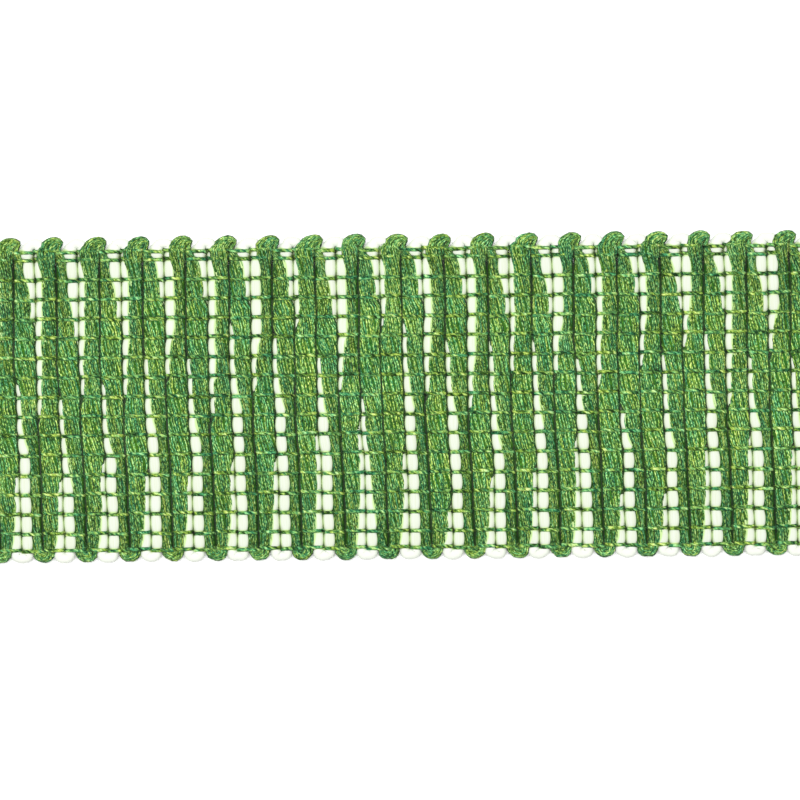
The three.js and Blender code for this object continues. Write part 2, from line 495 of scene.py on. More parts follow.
@dataclass(frozen=True)
class Valley:
    """Painted shade in the valleys between ribs, a share that the materials read from distances."""

    near: float  # within this of a rib's boundary it is all valley
    narrow: float  # and beyond this none of it is, half way between two threads
    wide: float  # and beyond this at a thread
    soft: float  # how dark it is half way between two threads, as a share
    light_spots: float = 0.0  # how much lighter the painted shade is at places, by chance
    spot_size: float = 2.5
    spot_range: Span = (0.35, 0.65)  # the noise where a spot starts and is whole

    def share(self, add: Adder) -> Node:
        """Adds the nodes that tell where a valley is.

        Args:
            add: adds a node to the material.

        Returns:
            The node that gives 1 in a valley and 0 off it.
        """
        edge, thread = (
            add("Attribute", {}, attribute_name=name).outputs["Fac"] for name in (EDGE, THREAD)
        )
        reach = add("MapRange", {0: thread, 3: self.narrow, 4: self.wide})
        depth = add("MapRange", {0: thread, 3: self.soft, 4: 1.0})
        share = add(
            "MapRange", {0: edge, 1: self.near, 2: reach, 3: depth, 4: 0.0},
            interpolation_type="SMOOTHSTEP",
        )
        if not self.light_spots:
            return share
        place, scale = add("TexCoord", {}).outputs["Object"], 1 / (self.spot_size * MM)
        spots = add("TexNoise", {"Vector": place, "Scale": scale, "Detail": 1.0, "Roughness": 0.6})
        start, whole = self.spot_range
        kept = add("MapRange", {0: spots, 1: start, 2: whole, 3: 1.0, 4: 1 - self.light_spots})
        return add("Math", {0: share, 1: kept}, operation="MULTIPLY")


@dataclass(frozen=True)
class HeatheredYarn:
    """Spun acrylic and wool yarn, dyed in the fibre and blended before spinning.

    Fibres of several greens lie side by side, so the eye sees short flecks of lime, leaf and bottle
    green that follow the twist. The surface is matt, with a little sheen from loose fibre ends.
    """

    name: str
    stops: tuple[tuple[float, str, str], ...]  # cool and warm fibre colours, darkest first
    valley: Valley
    open_dark: Span = (0.0, 0.38)  # painted shade off the valleys: lying flat, and beside the ivory
    valley_dark: Span = (0.9, 0.74)  # and painted shade in them
    deep_tint: tuple[float, float, float] = (0.95, 1.08, 0.8)  # colour of the painted light in the valleys
    brightness: float = 1.27
    plies: float = 2.0
    ply_pitch: float = 8.0
    twist: int = -1  # 1 leans the flecks one way, -1 the other
    groove: float = 0.25  # how dark the painted shade between the plies is
    groove_range: Span = (0.0, 0.7)  # where that ends: 0 is in a groove, 1 on top of a ply
    side_dark: float = 0.38  # how dark the painted shade on the strand's sides is
    side_range: Span = (0.1, 0.9)  # where that ends: 0 is at a side, 1 on top of the strand
    fleck_length: float = 0.56
    flecks_round: float = 2.1
    fleck_range: Span = (0.31, 0.69)  # the noise of the darkest and the palest fibre
    fleck_relief: float = 0.6  # how high a fleck is, as a share of a ply
    relief: float = 0.06
    strand_step: float = 97.0  # spreads the strands in the noise, so that no two are alike
    drift_length: float = 6.0  # slow change of colour along a strand
    drift_round: float = 0.15  # and round it, and from strand to strand, as shares of the flecks'
    drift_strands: float = 0.03
    drift_range: Span = (0.3, 0.7)  # the noise of the darkest and the palest drift
    drift_reach: float = 0.12
    hue_offset: tuple[float, float, float] = (31.7, 11.3, 5.1)  # of the noise that picks the hue
    hue_scale: float = 0.8
    hue_range: Span = (0.78, 1.22)  # two noises' sum for cool and for warm fibres

    def material(self) -> Material:
        """Makes the material.

        The place round the strand, turned with the distance along it, is the place across a ply. The
        sine of it gives the grooves between the plies, painted darker as shade, and the sine of the
        place round the strand gives its sides, painted darker as shade too.

        Returns:
            The material.
        """
        material, add = new_material(self.name)
        uv = add("UVMap", {}, uv_map=UV_MAP)
        around = add("SeparateXYZ", {0: uv})
        along, turn = around.outputs[1], self.twist / self.ply_pitch
        turned = add("Math", {0: along, 1: turn}, operation="MULTIPLY")
        ply = add("Math", {0: around, 1: self.plies, 2: turned}, operation="MULTIPLY_ADD")
        flecks, fibres = self.fibres(add, ply, along)
        # painted light and shade, by how deep the place lies
        colour = add("VectorMath", {0: fibres, 1: self.light(add)}, operation="MULTIPLY")
        ridges = []
        # painted shade in the grooves between the plies and on the strand's sides
        for place, angle, (low, high), dark in (
            (ply, math.pi, self.groove_range, self.groove),
            (around, 2 * math.pi, self.side_range, self.side_dark),
        ):
            turned = add("Math", {0: place, 1: angle}, operation="MULTIPLY")
            sine = add("Math", {0: turned}, operation="SINE")
            ridges.append(add("Math", {0: sine}, operation="ABSOLUTE"))
            shade = add("MapRange", {0: ridges[-1], 1: low, 2: high, 3: 1 - dark, 4: 1.0})
            colour = add("VectorMath", {0: colour, "Scale": shade}, operation="SCALE")
        height = add("Math", {0: flecks, 1: self.fleck_relief, 2: ridges[0]}, operation="MULTIPLY_ADD")
        bump = add("Bump", {"Strength": 0.7, "Distance": self.relief * MM, "Height": height})
        shader = add("BsdfPrincipled", {
            "Base Color": colour, "Roughness": 0.85, "Specular IOR Level": 0.1,
            "Sheen Weight": 0.05, "Sheen Roughness": 0.5, "Normal": bump,
        })
        add("OutputMaterial", {0: shader})
        return material

    def fibres(self, add: Adder, ply: Node, along: NodeSocket) -> tuple[Node, NodeSocket]:
        """Adds the nodes that pick each fleck's colour.

        Noise stretched along the plies, with a slow drift added, picks how pale a fleck is. The sum
        of a quick and a slow noise picks how warm it is.

        Args:
            add: adds a node to the material.
            ply: gives the place across a ply.
            along: gives the distance along the strand.

        Returns:
            The noise of the flecks, and their colour.
        """
        tone = add("Attribute", {}, attribute_name=TONE).outputs["Fac"]
        across, length, strand = (
            add("Math", {0: source, 1: factor}, operation="MULTIPLY")
            for source, factor in (
                (ply, self.flecks_round), (along, 1 / self.fleck_length), (tone, self.strand_step),
            )
        )
        place = add("CombineXYZ", {0: across, 1: length, 2: strand})
        stretch = (self.drift_round, self.fleck_length / self.drift_length, self.drift_strands)
        slow = add("VectorMath", {0: place, 1: stretch}, operation="MULTIPLY")
        moved = [
            add("VectorMath", {0: source, 1: self.hue_offset}, operation="ADD")
            for source in (place, slow)
        ]
        flecks, drift, *hues = (
            add("TexNoise", {"Vector": vector, "Scale": scale, "Detail": detail, "Roughness": rough})
            for vector, scale, detail, rough in (
                (place, 1.0, 2.0, 0.7), (slow, 1.0, 1.0, 0.5),
                *((vector, self.hue_scale, 1.0, 0.5) for vector in moved),
            )
        )
        dark, pale = self.fleck_range
        spread = add("MapRange", {0: flecks, 1: dark, 2: pale}, clamp=False)
        (low, high), reach = self.drift_range, self.drift_reach
        shift = add("MapRange", {0: drift, 1: low, 2: high, 3: -reach, 4: reach})
        pick = add("Math", {0: spread, 1: shift}, operation="ADD")
        both = add("Math", {0: hues[0], 1: hues[1]}, operation="ADD")
        cool, warm = self.hue_range
        warmth = add("MapRange", {0: both, 1: cool, 2: warm})
        ramps = [self.ramp(add, pick, column) for column in (1, 2)]
        fibres = add("Mix", {0: warmth, 6: ramps[0], 7: ramps[1]}, data_type="RGBA")
        return flecks, fibres.outputs[2]

    def light(self, add: Adder) -> NodeSocket:
        """Adds the nodes that give how much light a place gets, by how deep it lies.

        Args:
            add: adds a node to the material.

        Returns:
            The light, as a colour to multiply by.
        """
        leg = add("Attribute", {}, attribute_name=LEG).outputs["Fac"]
        levels = (
            [self.brightness * (1 - dark) for dark in pair]
            for pair in (self.open_dark, self.valley_dark)
        )
        lit, deep = (add("MapRange", {0: leg, 3: flat, 4: beside}) for flat, beside in levels)
        tinted = add("VectorMath", {0: self.deep_tint, "Scale": deep}, operation="SCALE")
        light = add("Mix", {0: self.valley.share(add), 6: lit, 7: tinted}, data_type="RGBA")
        return light.outputs[2]

    def ramp(self, add: Adder, pick: Node, column: int) -> Node:
        """Turns a number to a fibre's colour, by one column of the table.

        Args:
            add: adds a node to the material.
            pick: gives the number.
            column: 1 for the cool fibres, 2 for the warm ones.

        Returns:
            The node that gives the colour.
        """
        ramp = add("ValToRGB", {0: pick})
        elements = ramp.color_ramp.elements
        while len(elements) < len(self.stops):
            elements.new(0.5)
        for element, stop in zip(elements, self.stops):
            element.position = stop[0]
            element.color = srgb(stop[column])
        return ramp


@dataclass(frozen=True)
class SoftCord:
    """Low-twist cotton cord, bleached to an ivory white.

    Its fibres lie nearly straight, so the eye sees smooth pale pillows with faint lines along them.
    Near the green yarns it is painted greener, as light reflected from them and shade. Its edge
    loops are painted paler, as light, and its sides deep between the ribs dark, as shade.
    """

    valley: Valley
    name: str = "bleached_cotton_cord"
    colour: str = "#c5cbbf"
    shade: str = "#bfc5b1"
    open: str = "#ced2c7"  # painted light: the edge loops are paler, as nothing shades them
    open_ranges: tuple[tuple[str, float, float], ...] = ((EDGE, 1.0, 8.0),)
    cast: str = "#aec886"  # painted light and shade from the green, near the green yarns
    cast_ranges: tuple[tuple[str, float, float], ...] = (
        (CLEAR, -0.12, -0.38), (EDGE, 0.4, 0.05), (THREAD, 0.3, 0.65),
    )  # each measure where there is none of it, and where there is all of it
    between: str = "#434c14"  # painted shade of its sides, deep between the ribs
    girth: float = 7.0  # round the cord
    line_width: float = 0.25
    line_length: float = 7.0
    line_range: Span = (0.35, 0.65)  # the noise of the darkest and the palest line
    relief: float = 0.05

    def material(self) -> Material:
        """Makes the material, whose faint lines are noise stretched along the cord.

        Returns:
            The material.
        """
        material, add = new_material(self.name)
        uv = add("UVMap", {}, uv_map=UV_MAP)
        stretch = (self.girth / self.line_width, 1 / self.line_length, 1.0)
        place = add("VectorMath", {0: uv, 1: stretch}, operation="MULTIPLY")
        lines = add("TexNoise", {"Vector": place, "Scale": 1.0, "Detail": 2.0, "Roughness": 0.6})
        dark, pale = self.line_range
        faint = add("MapRange", {0: lines, 1: dark, 2: pale})
        colour = add("ValToRGB", {0: faint})
        for element, code in zip(colour.color_ramp.elements, (self.shade, self.colour)):
            element.color = srgb(code)
        # mixed over the lines: painted light on the edge loops, painted green light and shade near the
        # green yarns, painted shade in the valleys
        for share, code in (
            (self.greatest(add, self.open_ranges), self.open),
            (self.greatest(add, self.cast_ranges), self.cast),
            (self.valley.share(add), self.between),
        ):
            colour = add("Mix", {0: share, 6: colour, 7: srgb(code)}, data_type="RGBA").outputs[2]
        bump = add("Bump", {"Strength": 0.35, "Distance": self.relief * MM, "Height": lines})
        shader = add("BsdfPrincipled", {
            "Base Color": colour, "Roughness": 0.8, "Specular IOR Level": 0.25,
            "Sheen Weight": 0.1, "Normal": bump,
        })
        add("OutputMaterial", {0: shader})
        return material

    def greatest(self, add: Adder, ranges: tuple[tuple[str, float, float], ...]) -> Node:
        """Adds the nodes that turn each measure to a share and keep the greatest.

        Args:
            add: adds a node to the material.
            ranges: each measure, with where its share is 0 and where it is 1.

        Returns:
            The node that gives the greatest share.
        """
        greatest = 0.0
        for name, none, whole in ranges:
            measure = add("Attribute", {}, attribute_name=name).outputs["Fac"]
            share = add("MapRange", {0: measure, 1: none, 2: whole})
            greatest = add("Math", {0: share, 1: greatest}, operation="MAXIMUM")
        return greatest


def add_object(name: str, data: ID) -> Object:
    """Puts an object into the scene.

    Args:
        name: its name.
        data: its mesh, lamp or camera.

    Returns:
        The object.
    """
    made = bpy.data.objects.new(name, data)
    bpy.context.scene.collection.objects.link(made)
    return made


def add_tubes(
    name: str, rings: Array, along: Array, attributes: dict[str, Array], material: Material
) -> Object:
    """Writes closed tubes into one mesh.

    Points next to each other round a ring and along a tube make a four-sided face, and the first
    and the last ring of each tube are faces too, so it is closed. The UV map holds the share of the
    way round, and the distance along in millimetres.

    Args:
        name: the piece's name.
        rings: (tubes, rings, sides, 3), going anticlockwise as seen from the tube's far end.
        along: (tubes, rings), the distance along each tube.
        attributes: what each point carries for the material, each to fit (tubes, rings, sides).
        material: its finish.

    Returns:
        The piece.
    """
    tubes, count, sides, _ = rings.shape
    base = np.arange(tubes)[:, None, None] * count * sides
    i, j = np.meshgrid(np.arange(count - 1), np.arange(sides), indexing="ij")
    steps = ((0, 0), (0, 1), (1, 1), (1, 0))
    corners = np.stack([(i + up) * sides + (j + on) % sides for up, on in steps], -1)
    walls = (base[..., None] + corners[None]).reshape(-1)
    wall_u = np.stack([j + on for _, on in steps], -1) / sides
    wall_v = np.stack([along[:, i + up] for up, _ in steps], -1)
    wall_uv = np.stack([np.broadcast_to(wall_u, wall_v.shape), wall_v], -1).reshape(-1, 2)
    first = (base[:, 0] + np.arange(sides)[::-1][None]).reshape(-1)
    last = (base[:, 0] + (count - 1) * sides + np.arange(sides)[None]).reshape(-1)
    round_u = np.arange(sides) / sides
    cap_uv = [
        np.stack(np.broadcast_arrays(u[None], along[:, [k]]), -1).reshape(-1, 2)
        for u, k in ((round_u[::-1], 0), (round_u, count - 1))
    ]
    loops = np.concatenate([walls, first, last])
    sizes = np.concatenate([np.full(walls.size // 4, 4), np.full(2 * tubes, sides)])
    mesh = bpy.data.meshes.new(name)
    mesh.vertices.add(tubes * count * sides)
    mesh.vertices.foreach_set("co", (rings * MM).astype(np.float32).ravel())
    mesh.loops.add(loops.size)
    mesh.loops.foreach_set("vertex_index", loops.astype(np.int32))
    mesh.polygons.add(sizes.size)
    starts = np.concatenate([[0], np.cumsum(sizes)[:-1]])
    mesh.polygons.foreach_set("loop_start", starts.astype(np.int32))
    mesh.polygons.foreach_set("use_smooth", sizes == 4)
    uv = mesh.uv_layers.new(name=UV_MAP)
    uv.data.foreach_set("uv", np.concatenate([wall_uv, *cap_uv]).astype(np.float32).ravel())
    for key, values in attributes.items():
        data = mesh.attributes.new(key, "FLOAT", "POINT").data
        data.foreach_set("value", np.broadcast_to(values, rings.shape[:3]).astype(np.float32).ravel())
    mesh.update(calc_edges=True)
    mesh.validate()
    mesh.materials.append(material)
    log.info("%s: %d tubes, %d faces", name, tubes, sizes.size)
    return add_object(name, mesh)


def frames(path: Array, flat: bool) -> tuple[Array, Array]:
    """Finds the two directions across each point of a path.

    The tangent runs between a point's neighbours. The first direction is level and square to it, and
    the second is square to both, or straight up if the frame is to stay flat.

    Args:
        path: (..., points, 3).
        flat: whether the second direction is always straight up.

    Returns:
        The two directions, each in the path's own shape.
    """
    tangent = np.gradient(path, axis=-2)
    level = np.stack([-tangent[..., 1], tangent[..., 0], np.zeros_like(tangent[..., 0])], -1)
    level /= np.linalg.norm(level, axis=-1, keepdims=True)
    if flat:
        return level, np.broadcast_to([0.0, 0.0, 1.0], level.shape)
    up = np.cross(tangent, level)
    return level, up / np.linalg.norm(up, axis=-1, keepdims=True)


def round_tubes(path: Array, radius: Array | float, sides: int) -> Array:
    """Puts a circle across each point of some paths: cosine along one direction, sine along the other.

    Args:
        path: (tubes, points, 3).
        radius: the circles' radius, one number or (tubes, points).
        sides: how many points in a circle.

    Returns:
        (tubes, points, sides, 3).
    """
    level, up = frames(path, flat=False)
    turn = 2 * math.pi * np.arange(sides) / sides
    radius = np.broadcast_to(radius, path.shape[:-1])[..., None, None]
    circle = level[..., None, :] * np.cos(turn)[:, None] + up[..., None, :] * np.sin(turn)[:, None]
    return path[..., None, :] + radius * circle


def length_along(path: Array) -> Array:
    """Adds up the distances between the points of a path, (..., points, 3)."""
    steps = np.linalg.norm(np.diff(path, axis=-2), axis=-1)
    return np.concatenate([np.zeros_like(steps[..., :1]), np.cumsum(steps, axis=-1)], axis=-1)


# The knots of an edge loop, from the rib on its left to the rib on its right: place along the tape
# from the rib boundary, distance out from the edge thread, height above the weave's middle, half
# width and half height.
HOOKED_LOOP = (
    (-1.62, 0.50, 0.65, 1.62, 0.95),
    (-1.27, 1.25, 0.70, 1.52, 0.85),
    (-0.40, 1.80, 0.65, 1.28, 0.75),
    (0.50, 2.12, 0.40, 0.94, 0.65),
    (1.18, 1.88, 0.05, 0.60, 0.52),
    (0.90, 1.25, -0.35, 0.50, 0.55),
    (0.62, 0.50, -0.35, 0.60, 0.70),
)
GREEN_LOOP = (
    (-1.08, 0.65, 0.1, 1.06, 0.95),
    (-0.68, 1.20, 0.1, 1.06, 0.90),
    (0.15, 1.40, 0.1, 1.00, 0.88),
    (0.85, 1.20, 0.1, 1.08, 0.90),
    (1.18, 0.65, 0.1, 1.08, 0.95),
)


def even_loop(end: float, shoulder: float, crown: float) -> Knots:
    """Gives an even ivory loop's knots, from how far out its ends, shoulders and crown are."""
    side = ((-1.08, end, 0.0, 1.12, 0.95), (-0.80, shoulder, 0.0, 1.04, 0.90))
    return (*side, (0.0, crown, 0.0, 1.0, 0.88), *((-x, *rest) for x, *rest in reversed(side)))


@dataclass
class Weft:
    """One thick yarn that goes back and forth across the tape, a rib at a time."""

    weave: Weave
    yarn: Yarn
    top_loop: Knots
    bottom_loop: Knots
    steps: int  # from one warp thread to the next
    loop_steps: int = 12
    short_steps: int = 3  # in the short cell at the selvedge
    tail: float = 1.7  # how far a cut end stands out past the edge thread
    tail_steps: int = 3
    unevenness: float = 0.12  # of the loops
    uneven_columns: tuple[float, ...] = (1, 1, 1, 0.5, 0.5)  # all of it in place, half in size

    def course(self) -> tuple[Array, Array, Array]:
        """Works out the yarn's whole course, with its section.

        In a rib the course runs straight across the tape. Each loop is a smooth curve through its
        own few knots, from the end of one rib's run to the start of the next.

        Returns:
            The course (points, 3), and half its width and half its height (points,).
        """
        weave = self.weave
        rows = weave.row_heights()
        cuts = [np.linspace(rows[0], rows[1], self.short_steps, endpoint=False)]
        cuts += [np.linspace(a, b, self.steps, endpoint=False) for a, b in zip(rows[1:-1], rows[2:])]
        downwards = np.concatenate([*cuts, rows[-1:]])
        rib = np.arange(weave.ribs)[:, None]
        down = (rib % 2 == 0) == bool(self.yarn.value)
        y = np.where(down, downwards, downwards[::-1])
        lie = weave.lie(self.yarn, np.broadcast_to(rib, y.shape), y)
        z = lie.z + (weave.knob_lift * weave.knob(rib, y) if self.yarn is Yarn.GREEN else 0)
        runs = np.stack([lie.x, y, z, lie.half_width, lie.half_height], -1)
        loops = self.loops(runs, down[:, 0])
        whole = np.concatenate([runs, loops], axis=1).reshape(-1, runs.shape[-1])
        start = self.tail_knots(runs[:1, 0], not down[0, 0], self.tail_steps)[::-1]
        whole = np.concatenate([start, whole])
        return whole[:, :3], whole[:, 3], whole[:, 4]

    def loops(self, runs: Array, down: Array) -> Array:
        """Works out the loop after each rib's run, and the cut end after the last.

        Args:
            runs: (ribs, points, 5), the course in each rib.
            down: (ribs,), whether the run goes down.

        Returns:
            (ribs, points, 5).
        """
        weave = self.weave
        rng = np.random.default_rng(SEED + self.yarn.value)
        count = weave.ribs - 1
        shapes = self.knot_tables()[down[:-1].astype(int)]
        stray = rng.uniform(-1, 1, shapes.shape) * self.unevenness * self.uneven_columns
        shapes = shapes + stray
        edge = runs[:-1, -1, 1][:, None]
        outwards = np.where(down[:-1], -1, 1)[:, None]
        knots = shapes.copy()
        knots[..., 1] = edge + outwards * shapes[..., 1]
        boundary = np.arange(1, count + 1)[:, None]
        knots[..., 0] = weave.boundary_x(boundary, knots[..., 1]) + shapes[..., 0]
        knots[..., 2] = weave.middle + shapes[..., 2]
        through = np.concatenate([runs[:-1, -1:], knots, runs[1:, :1]], axis=1)
        curves = smooth_through(through, self.loop_steps)
        end = self.tail_knots(runs[-1:, -1], down[-1], self.loop_steps)
        return np.concatenate([curves, end[None]])

    def knot_tables(self) -> Array:
        """Gives both loops' knots the same number, so that they fit into one array.

        The shorter table is drawn out by a smooth curve through it.

        Returns:
            (2, knots, 5), the top loop first.
        """
        tables = [np.array(table, float) for table in (self.top_loop, self.bottom_loop)]
        count = max(len(table) for table in tables)
        return np.stack([
            table if len(table) == count else np.concatenate(
                [table[:1], smooth_through(table[None], count - 2)[0], table[-1:]]
            )
            for table in tables
        ])

    def tail_knots(self, last: Array, down: bool, count: int) -> Array:
        """Carries a run straight on to a cut end.

        Args:
            last: (1, 5), the run's last point.
            down: whether it goes on downwards.
            count: how many points to add.

        Returns:
            (count, 5), from the run outwards.
        """
        out = np.linspace(0, self.tail, count + 1)[1:, None] * (-1 if down else 1)
        return last + out * [0, 1, 0, 0, 0]


@dataclass
class IvoryCord(Weft):
    """The soft ivory weft, one smooth cord."""

    sides: int = 16
    roundness: Span = (0.5, 0.9)  # of its section: in the ribs, and in the loops
    corner: float = 0.8  # how much narrower its face is under a warp thread
    side_low: float = 0.3  # its sides take the painted shade of the valleys: how far below the weave's middle
    side_reach: float = 0.45  # and how far up and down from there
    round_past: float = 0.8  # how far past the edge threads its section is that of the loops
    off_ribs: float = 5.0  # a greater distance from a rib's boundary is one past the edges

    def build(self, material: Material) -> Object:
        """Makes the cord: its section, a rectangle with round corners, carried along the course.

        Under each warp thread the upper half of the section is narrower, which rounds off the
        pillows' corners. The cord's low sides count as no distance from a rib's boundary, so that
        they take the painted shade of the valleys.

        Args:
            material: the cord's finish.

        Returns:
            The piece.
        """
        path, half_width, half_height = self.course()
        level, up = frames(path, flat=True)
        share = np.arange(self.sides) / self.sides
        y = path[:, 1]
        looped = ease(self.weave.past(y), 0, self.round_past)[:, None]
        roundness = mix(*self.roundness, looped)
        x, z = rounded_section(share, half_width[:, None], half_height[:, None], roundness)
        face = np.sqrt(np.clip(z / half_height[:, None], 0, 1))
        squeeze = self.corner * self.weave.pinch(y) / half_width
        x = x * (1 - squeeze[:, None] * face)
        rings = path[:, None] + level[:, None] * x[..., None] + up[:, None] * z[..., None]
        marks = self.weave.marks(rings, self.weave.row_heights()[0])
        # its low sides count as in a valley, so that they take the painted shade
        side = np.abs(rings[..., 2] - self.weave.middle + self.side_low) - self.side_reach
        edge = marks[EDGE]
        marks[EDGE] = np.where(edge > self.off_ribs, edge, np.minimum(edge, np.maximum(side, 0)))
        return add_tubes("ivory_weft", rings[None], length_along(path)[None], marks, material)


@dataclass
class GreenBundle(Weft):
    """The green weft: strands that lie round a core of more strands, with a slow twist."""

    strands: int = 18
    pieces: int = 3
    strand_radius: float = 0.22
    sides: int = 4
    twist_pitch: float = 42.0
    core_sides: int = 8
    shift: float = 0.45  # how far a strand shifts round the bundle, as a share of one's room
    uneven: float = 0.1  # how much its thickness changes
    slow: float = 4.0  # over how long both do
    sink: float = 0.95  # how deep its middle lies below the bundle's outline, in its radii
    loose: float = 0.045  # how far it works out of the bundle or into it, as a share
    loose_length: float = 2.6
    core_reach: float = 0.16  # how far the core stands out of the bundle's sides, into the gaps, as painted shade there
    core_top: Span = (1.0, 1.6)  # in thread rows from the top, where it begins to
    core_bottom: float = 0.25  # and from the bottom, where it ends

    def build(self, yarn: Material, core: Material) -> list[Object]:
        """Makes the strands, and the core within them.

        Each strand's place is evenly spaced round the bundle's outline, and moves round it by one
        turn for each twist pitch. Slow random waves shift it a little and change its thickness.

        Args:
            yarn: the strands' finish.
            core: the finish of the core, which shows only between them, painted dark as shade.

        Returns:
            The pieces.
        """
        path, half_width, half_height = self.course()
        rng = np.random.default_rng(SEED + 10)
        level, up = frames(path, flat=True)
        along = length_along(path)
        number = np.arange(self.strands)[:, None]
        place = number / self.strands - along / self.twist_pitch
        place = place + self.shift / self.strands * wander(rng, along, self.slow, self.strands)
        radius = self.strand_radius * (1 + self.uneven * wander(rng, along, self.slow, self.strands))
        inset = self.strand_radius * self.sink
        across, height = rounded_section(place, half_width - inset, half_height - inset, 1.0)
        loose = 1 + self.loose * wander(rng, along, self.loose_length, self.strands)
        across, height = across * loose, height * loose
        lines = path + level * across[..., None] + up * height[..., None]
        rings = round_tubes(lines, radius, self.sides)
        tones = rng.uniform(0, 1, self.strands)
        distance = length_along(lines)
        made = []
        for part, chosen in enumerate(np.array_split(np.arange(self.strands), self.pieces), 1):
            marks = self.weave.marks(rings[chosen], self.weave.top_thread)
            marks[TONE] = tones[chosen, None, None]
            name = f"green_strands_{part}"
            made.append(add_tubes(name, rings[chosen], distance[chosen], marks, yarn))
        made.append(self.core(path, (half_width, half_height), inset, core))
        return made

    def core(self, path: Array, shape: tuple[Array, Array], inset: float, core: Material) -> Object:
        """Makes the core, which fills the bundle and stands out into the gaps beside the ribs.

        Args:
            path: (points, 3), the bundle's course.
            shape: half its width and half its height.
            inset: how far within its outline the strands' middles lie.
            core: the core's finish.

        Returns:
            The piece.
        """
        # the core is inner strands, and where it stands out into the gaps its dark colour is painted
        # shade
        half_width, half_height = shape
        level, up = frames(path, flat=True)
        share = np.arange(self.core_sides) / self.core_sides
        y = path[:, 1]
        pinched = self.weave.pinch_width * self.weave.pinch(y)
        count = self.weave.row_count(y)
        last = count.max()
        inside = ease(count, *self.core_top) * (1 - ease(count, last - self.core_bottom, last))
        wide = mix(half_width - inset, half_width / (1 - pinched) + self.core_reach, inside)
        high = half_height - inset
        x, z = rounded_section(share, wide[:, None], high[:, None], 1.0)
        rings = path[:, None] + level[:, None] * x[..., None] + up[:, None] * z[..., None]
        marks = self.weave.marks(rings, self.weave.top_thread)
        return add_tubes("green_core", rings[None], length_along(path)[None], marks, core)


@dataclass
class WarpThreads:
    """The fine threads along the tape: two to a row, over and under alternate ribs."""

    weave: Weave
    radius: float = 0.37
    sides: int = 6
    apart: float = 0.1  # how far each thread of a pair is from its row on top of a rib
    crossing: float = 0.24  # and where the two cross
    bite: float = 0.4  # how far a thread sinks into a weft, as a share of its radius
    arch: float = 0.25  # the power of a sine that is its shape over a rib: less is squarer
    stray: float = 0.12  # how far it strays from its row
    stray_length: float = 5.0
    uneven: float = 0.1  # how much its thickness changes
    uneven_length: float = 3.0
    stops: tuple[float, ...] = (0.0, 0.07, 0.16, 0.3, 0.5, 0.7, 0.84, 0.93)  # of a rib's width

    def build(self, material: Material) -> Object:
        """Makes the threads.

        Over a rib a thread follows the higher of the two wefts there, smoothed, and under the next
        rib the lower one. At the boundaries it passes through the weave's middle, beside its
        partner.

        Args:
            material: the threads' finish.

        Returns:
            The piece.
        """
        weave = self.weave
        rng = np.random.default_rng(SEED + 20)
        rows = weave.row_heights()[:, None, None]
        stops = np.array(self.stops)
        rib = np.arange(weave.ribs)[None, :, None]
        shape = (rows.shape[0], weave.ribs, stops.size)
        ribs, y = np.broadcast_to(rib, shape), np.broadcast_to(rows, shape)
        x = weave.boundary_x(ribs, y) + stops * weave.rib_pitch
        top, bottom = self.envelope(ribs, y, x)
        arch = np.sin(math.pi * stops) ** self.arch
        lift = self.radius * (1 - self.bite)
        over = weave.middle + (top + lift - weave.middle) * arch
        under = weave.middle + (bottom - lift - weave.middle) * arch
        side = self.apart + (self.crossing - self.apart) * (1 - np.sin(math.pi * stops)) ** 2
        threads = []
        for partner in (0, 1):
            z = np.where((ribs + partner) % 2 == 0, over, under)
            shifted = y + (side if partner else -side)
            points = np.stack([x, shifted, z], -1).reshape(rows.shape[0], -1, 3)
            last = points[:, -1:].copy()
            last[..., 0] = weave.boundary_x(np.array(weave.ribs), last[..., 1])
            last[..., 2] = weave.middle
            threads.append(np.concatenate([points, last], axis=1))
        lines = np.concatenate(threads)
        along = np.linspace(0, weave.ribs * weave.rib_pitch, lines.shape[1])
        count = lines.shape[0]
        lines[..., 1] += self.stray * wander(rng, along, self.stray_length, count)
        radius = self.radius * (1 + self.uneven * wander(rng, along, self.uneven_length, count))
        rings = round_tubes(lines, radius, self.sides)
        marks = weave.marks(rings, weave.row_heights()[0])
        marks[TONE] = rng.uniform(0, 1, count)[:, None, None]
        return add_tubes("warp_threads", rings, length_along(lines), marks, material)

    def envelope(self, rib: Array, y: Array, x: Array) -> tuple[Array, Array]:
        """Finds the top and the bottom of the two wefts together.

        Each weft's section counts as a superellipse: its height falls from the middle to the edge as
        the cube root of one less the cube of the distance.

        Args:
            rib: each place's rib.
            y: its place across the tape.
            x: its place along the tape.

        Returns:
            The top and the bottom there, no nearer to the weave's middle than a thread's radius.
        """
        tops, bottoms = [], []
        for yarn in Yarn:
            lie = self.weave.lie(yarn, rib, y)
            off = np.clip(np.abs(x - lie.x) / lie.half_width, 0, 1)
            rise = lie.half_height * np.cbrt(1 - off**3)
            tops.append(np.where(off < 1, lie.z + rise, -np.inf))
            bottoms.append(np.where(off < 1, lie.z - rise, np.inf))
        middle = self.weave.middle
        top = np.maximum(np.maximum(*tops), middle + self.radius)
        bottom = np.minimum(np.minimum(*bottoms), middle - self.radius)
        return top, bottom


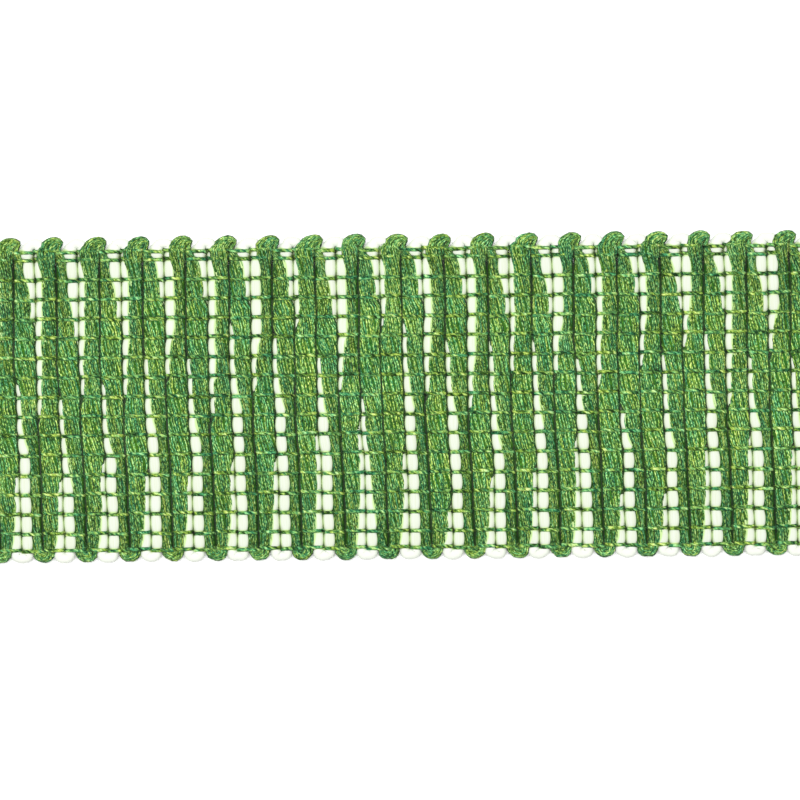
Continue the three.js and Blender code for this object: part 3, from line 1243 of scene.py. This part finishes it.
@dataclass(frozen=True)
class Studio:
    """A plain white table under soft, bright, even light, seen from straight above."""

    frame_width: float = 160.0  # of tape that the picture shows
    centre: Span = (-1.04, -0.8)
    turn: float = math.radians(-0.57)
    face_height: float = 2.6
    lens: float = 200.0
    sensor: float = 36.0
    floor_size: float = 6.0
    world_strength: float = 0.5
    lamp_power: float = 26.0
    lamp_size: float = 1.2  # in metres, as is its place
    lamp_place: tuple[float, float, float] = (-0.15, 0.2, 1.3)

    def build(self) -> None:
        """Makes the table, the light and the camera."""
        scene = bpy.context.scene
        scene.view_settings.view_transform = "Standard"
        scene.view_settings.look = "None"
        self.table()
        self.light()
        self.camera()

    def table(self) -> None:
        """Makes the table: matt white laminate, which gives an even white ground."""
        half = self.floor_size / 2
        mesh = bpy.data.meshes.new("table")
        corners = [(-half, -half, 0), (half, -half, 0), (half, half, 0), (-half, half, 0)]
        mesh.from_pydata(corners, [], [(0, 1, 2, 3)])
        material, add = new_material("matt_white_laminate")
        shader = add("BsdfPrincipled", {
            "Base Color": srgb("#fcfcfc"), "Roughness": 0.9, "Specular IOR Level": 0.1,
        })
        add("OutputMaterial", {0: shader})
        mesh.materials.append(material)
        table = add_object("table", mesh)

    def light(self) -> None:
        """Makes the sky that lights everything evenly, and one big lamp above, to the upper left."""
        world = bpy.data.worlds.new("studio")
        world.use_nodes = True
        world.node_tree.nodes.clear()
        add = partial(add_node, world.node_tree)
        sky = add("Background", {"Color": (1, 1, 1, 1), "Strength": self.world_strength})
        add("OutputWorld", {0: sky})
        bpy.context.scene.world = world
        lamp = bpy.data.lights.new("lamp", "AREA")
        lamp.shape = "DISK"
        lamp.size = self.lamp_size
        lamp.energy = self.lamp_power
        holder = add_object("lamp", lamp)
        x, y, z = self.lamp_place
        holder.location = (x, y, z)
        holder.rotation_euler = (math.atan2(-y, z), math.atan2(x, z), 0.0)

    def camera(self) -> None:
        """Makes the camera: straight above, far off with a long lens, so that nothing leans."""
        data = bpy.data.cameras.new("camera")
        data.lens = self.lens
        data.sensor_width = self.sensor
        data.clip_start = 0.01
        data.clip_end = 100
        camera = add_object("camera", data)
        away = self.frame_width * self.lens / self.sensor
        place = (*self.centre, away + self.face_height)
        camera.location = [length * MM for length in place]
        camera.rotation_euler = (0, 0, self.turn)
        bpy.context.scene.camera = camera


WEFT_FIBRES = (
    (0.00, "#0b2812", "#142806"),
    (0.22, "#194626", "#2f4c17"),
    (0.42, "#2a6c46", "#54782a"),
    (0.60, "#448f5c", "#80a03e"),
    (0.80, "#70b670", "#a8c258"),
    (1.00, "#a4d694", "#d2dc8e"),
)
# The core's fibres: darker than the strands', as painted shade, for the core shows only in the gaps
# between ribs.
CORE_FIBRES_PAINTED_SHADE = (
    (0.00, "#143c0e", "#204008"),
    (1.00, "#28601e", "#3c6a16"),
)


def main() -> None:
    """Builds the studio and the three yarns, and tells the frame what each piece stands for."""
    logging.basicConfig(level=logging.INFO, format="%(message)s")
    weave = Weave()
    Studio().build()
    wide, thin = Valley(0.16, 0.55, 0.7, 1.0, 0.25), Valley(0.02, 0.13, 0.36, 0.6)
    green = HeatheredYarn("heathered_green_yarn", WEFT_FIBRES, wide).material()
    # the core: inner strands, painted dark as the shade in the gaps between ribs
    core = HeatheredYarn(
        "heathered_green_core_painted_shade", CORE_FIBRES_PAINTED_SHADE, wide, brightness=1.3, side_dark=0.0
    ).material()
    warp = HeatheredYarn(
        "heathered_green_thread", WEFT_FIBRES, Valley(0.1, 0.4, 0.5, 0.8), open_dark=(0.0, 0.0),
        valley_dark=(0.86, 0.86), brightness=0.97, fleck_length=1.0, flecks_round=1.8, ply_pitch=1.9,
        side_dark=0.0,
    ).material()
    cord = SoftCord(thin).material()
    tall, low = even_loop(1.05, 1.52, 1.70), even_loop(0.90, 1.34, 1.48)
    ivory_piece = IvoryCord(weave, Yarn.IVORY, tall, low, steps=7).build(cord)
    green_pieces = GreenBundle(weave, Yarn.GREEN, HOOKED_LOOP, GREEN_LOOP, steps=5).build(green, core)
    warp_piece = WarpThreads(weave).build(warp)
    for piece in (ivory_piece, *green_pieces, warp_piece):
        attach(piece, "root")
        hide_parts("tape")


if __name__ == "__main__":
    main()
